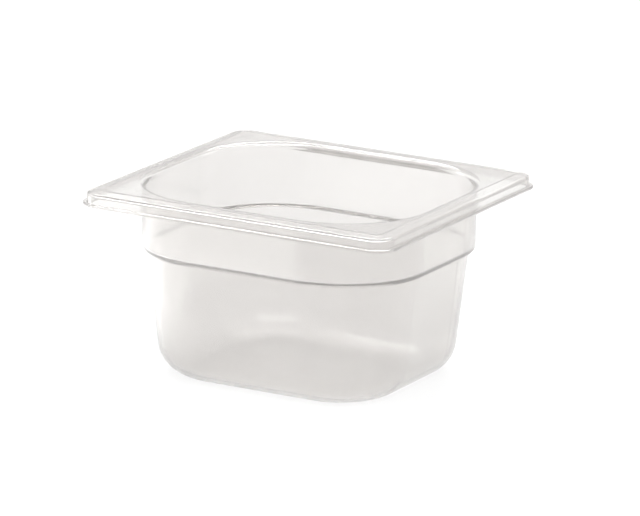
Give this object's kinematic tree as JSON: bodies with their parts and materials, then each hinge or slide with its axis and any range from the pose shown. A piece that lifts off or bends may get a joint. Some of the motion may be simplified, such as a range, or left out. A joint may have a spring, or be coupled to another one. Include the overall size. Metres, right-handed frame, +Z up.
{
  "type": "food pan",
  "caption": "Rectangular food pan in translucent moulded plastic, with a flat hanging rim, a stacking shoulder and tapered walls, open at the top.",
  "frame": {"origin": "centre of the base, on the surface that the pan stands on", "axes": "+Z up out of the open top, +X along the longer side of the rim, +Y along the shorter side"},
  "size_m": [0.176, 0.162, 0.098],
  "materials": {
    "pan_plastic": "translucent natural polypropylene, semi-gloss"
  },
  "bodies": {
    "root": {"pan": "pan_plastic"}
  },
  "joints": []
}
